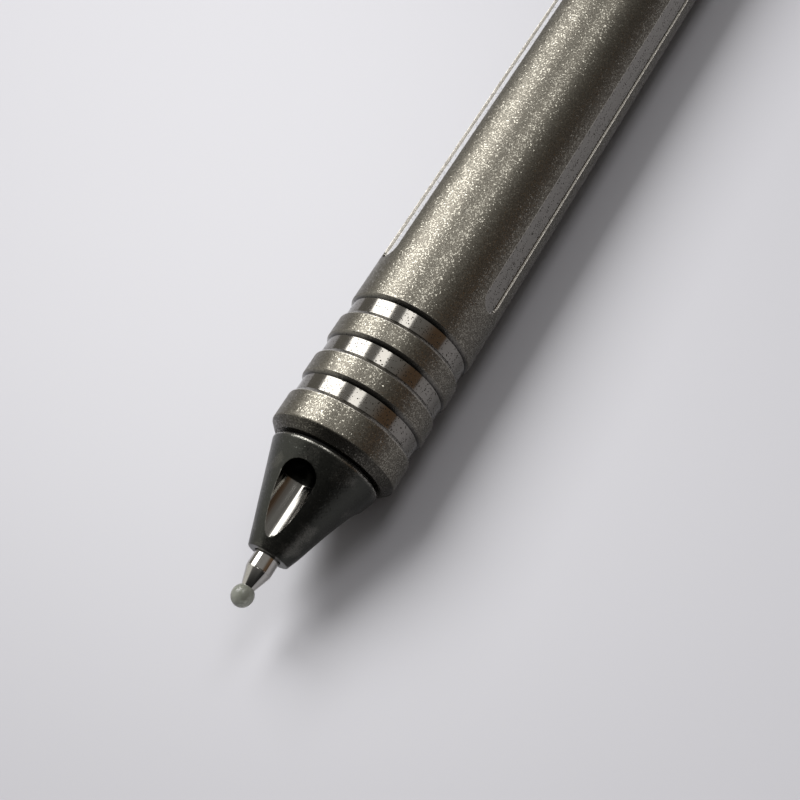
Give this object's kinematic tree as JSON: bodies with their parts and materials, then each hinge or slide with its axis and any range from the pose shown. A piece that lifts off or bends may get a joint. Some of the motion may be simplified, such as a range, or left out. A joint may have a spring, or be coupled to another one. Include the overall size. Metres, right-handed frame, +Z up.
{
  "type": "tactical pen",
  "caption": "Bolt-action metal pen with a grooved grip, a scalloped dark nose cone, polished flats along the barrel, a pocket clip and a hard strike tip at the tail.",
  "frame": {"origin": "on the pen's axis, in the middle of the smooth round land between the barrel's front chamfer and the first grip groove", "axes": "+X along the pen towards its tail, +Z up through the bolt knob as the pen lies on its barrel and clip"},
  "size_m": [0.1456, 0.0147, 0.0167],
  "materials": {
    "stonewashed_titanium": "stonewashed, with polished grooves and flats",
    "dark_titanium": "dark matte coating, polished in the milled pockets",
    "turned_titanium": "satin turned",
    "nickel_silver": "bright nickel",
    "carbide": "polished hard metal",
    "black_rubber": "matte black",
    "wax": "translucent soft sheen",
    "white_plastic": "smooth moulded",
    "clear_plastic": "clear extruded",
    "ink": "dark gel",
    "grease": "clear gel",
    "spring_steel": "drawn wire",
    "black_steel": "black oxide",
    "carrier_brass": "turned",
    "pad_plastic": "soft moulded"
  },
  "bodies": {
    "barrel": {"barrel": "stonewashed_titanium", "nose_cone": "dark_titanium", "nose_seal": "black_rubber", "return_spring": "spring_steel", "tail_cap": "stonewashed_titanium", "tail_seal": "black_rubber", "strike_tip": "carbide", "pocket_clip": "stonewashed_titanium", "clip_screws": "black_steel"},
    "refill": {"refill_point": "nickel_silver", "writing_ball": "carbide", "wax_bead": "wax", "refill_nose": "white_plastic", "refill_tube": "clear_plastic", "ink_column": "ink", "ink_follower": "grease", "refill_plug": "white_plastic"},
    "bolt": {"bolt_carrier": "carrier_brass", "carrier_seal": "black_rubber", "carrier_pad": "pad_plastic", "bolt_knob": "turned_titanium"}
  },
  "joints": [
    {"name": "bolt_slide", "type": "slide", "parent": "barrel", "child": "refill", "axis": [1, 0, 0], "range_m": [0, 0.006], "deforming": ["return_spring"]},
    {"name": "bolt_turn", "type": "hinge", "parent": "refill", "child": "bolt", "pos_m": [0, 0, 0], "axis": [1, 0, 0], "range_deg": [0, 35]}
  ]
}
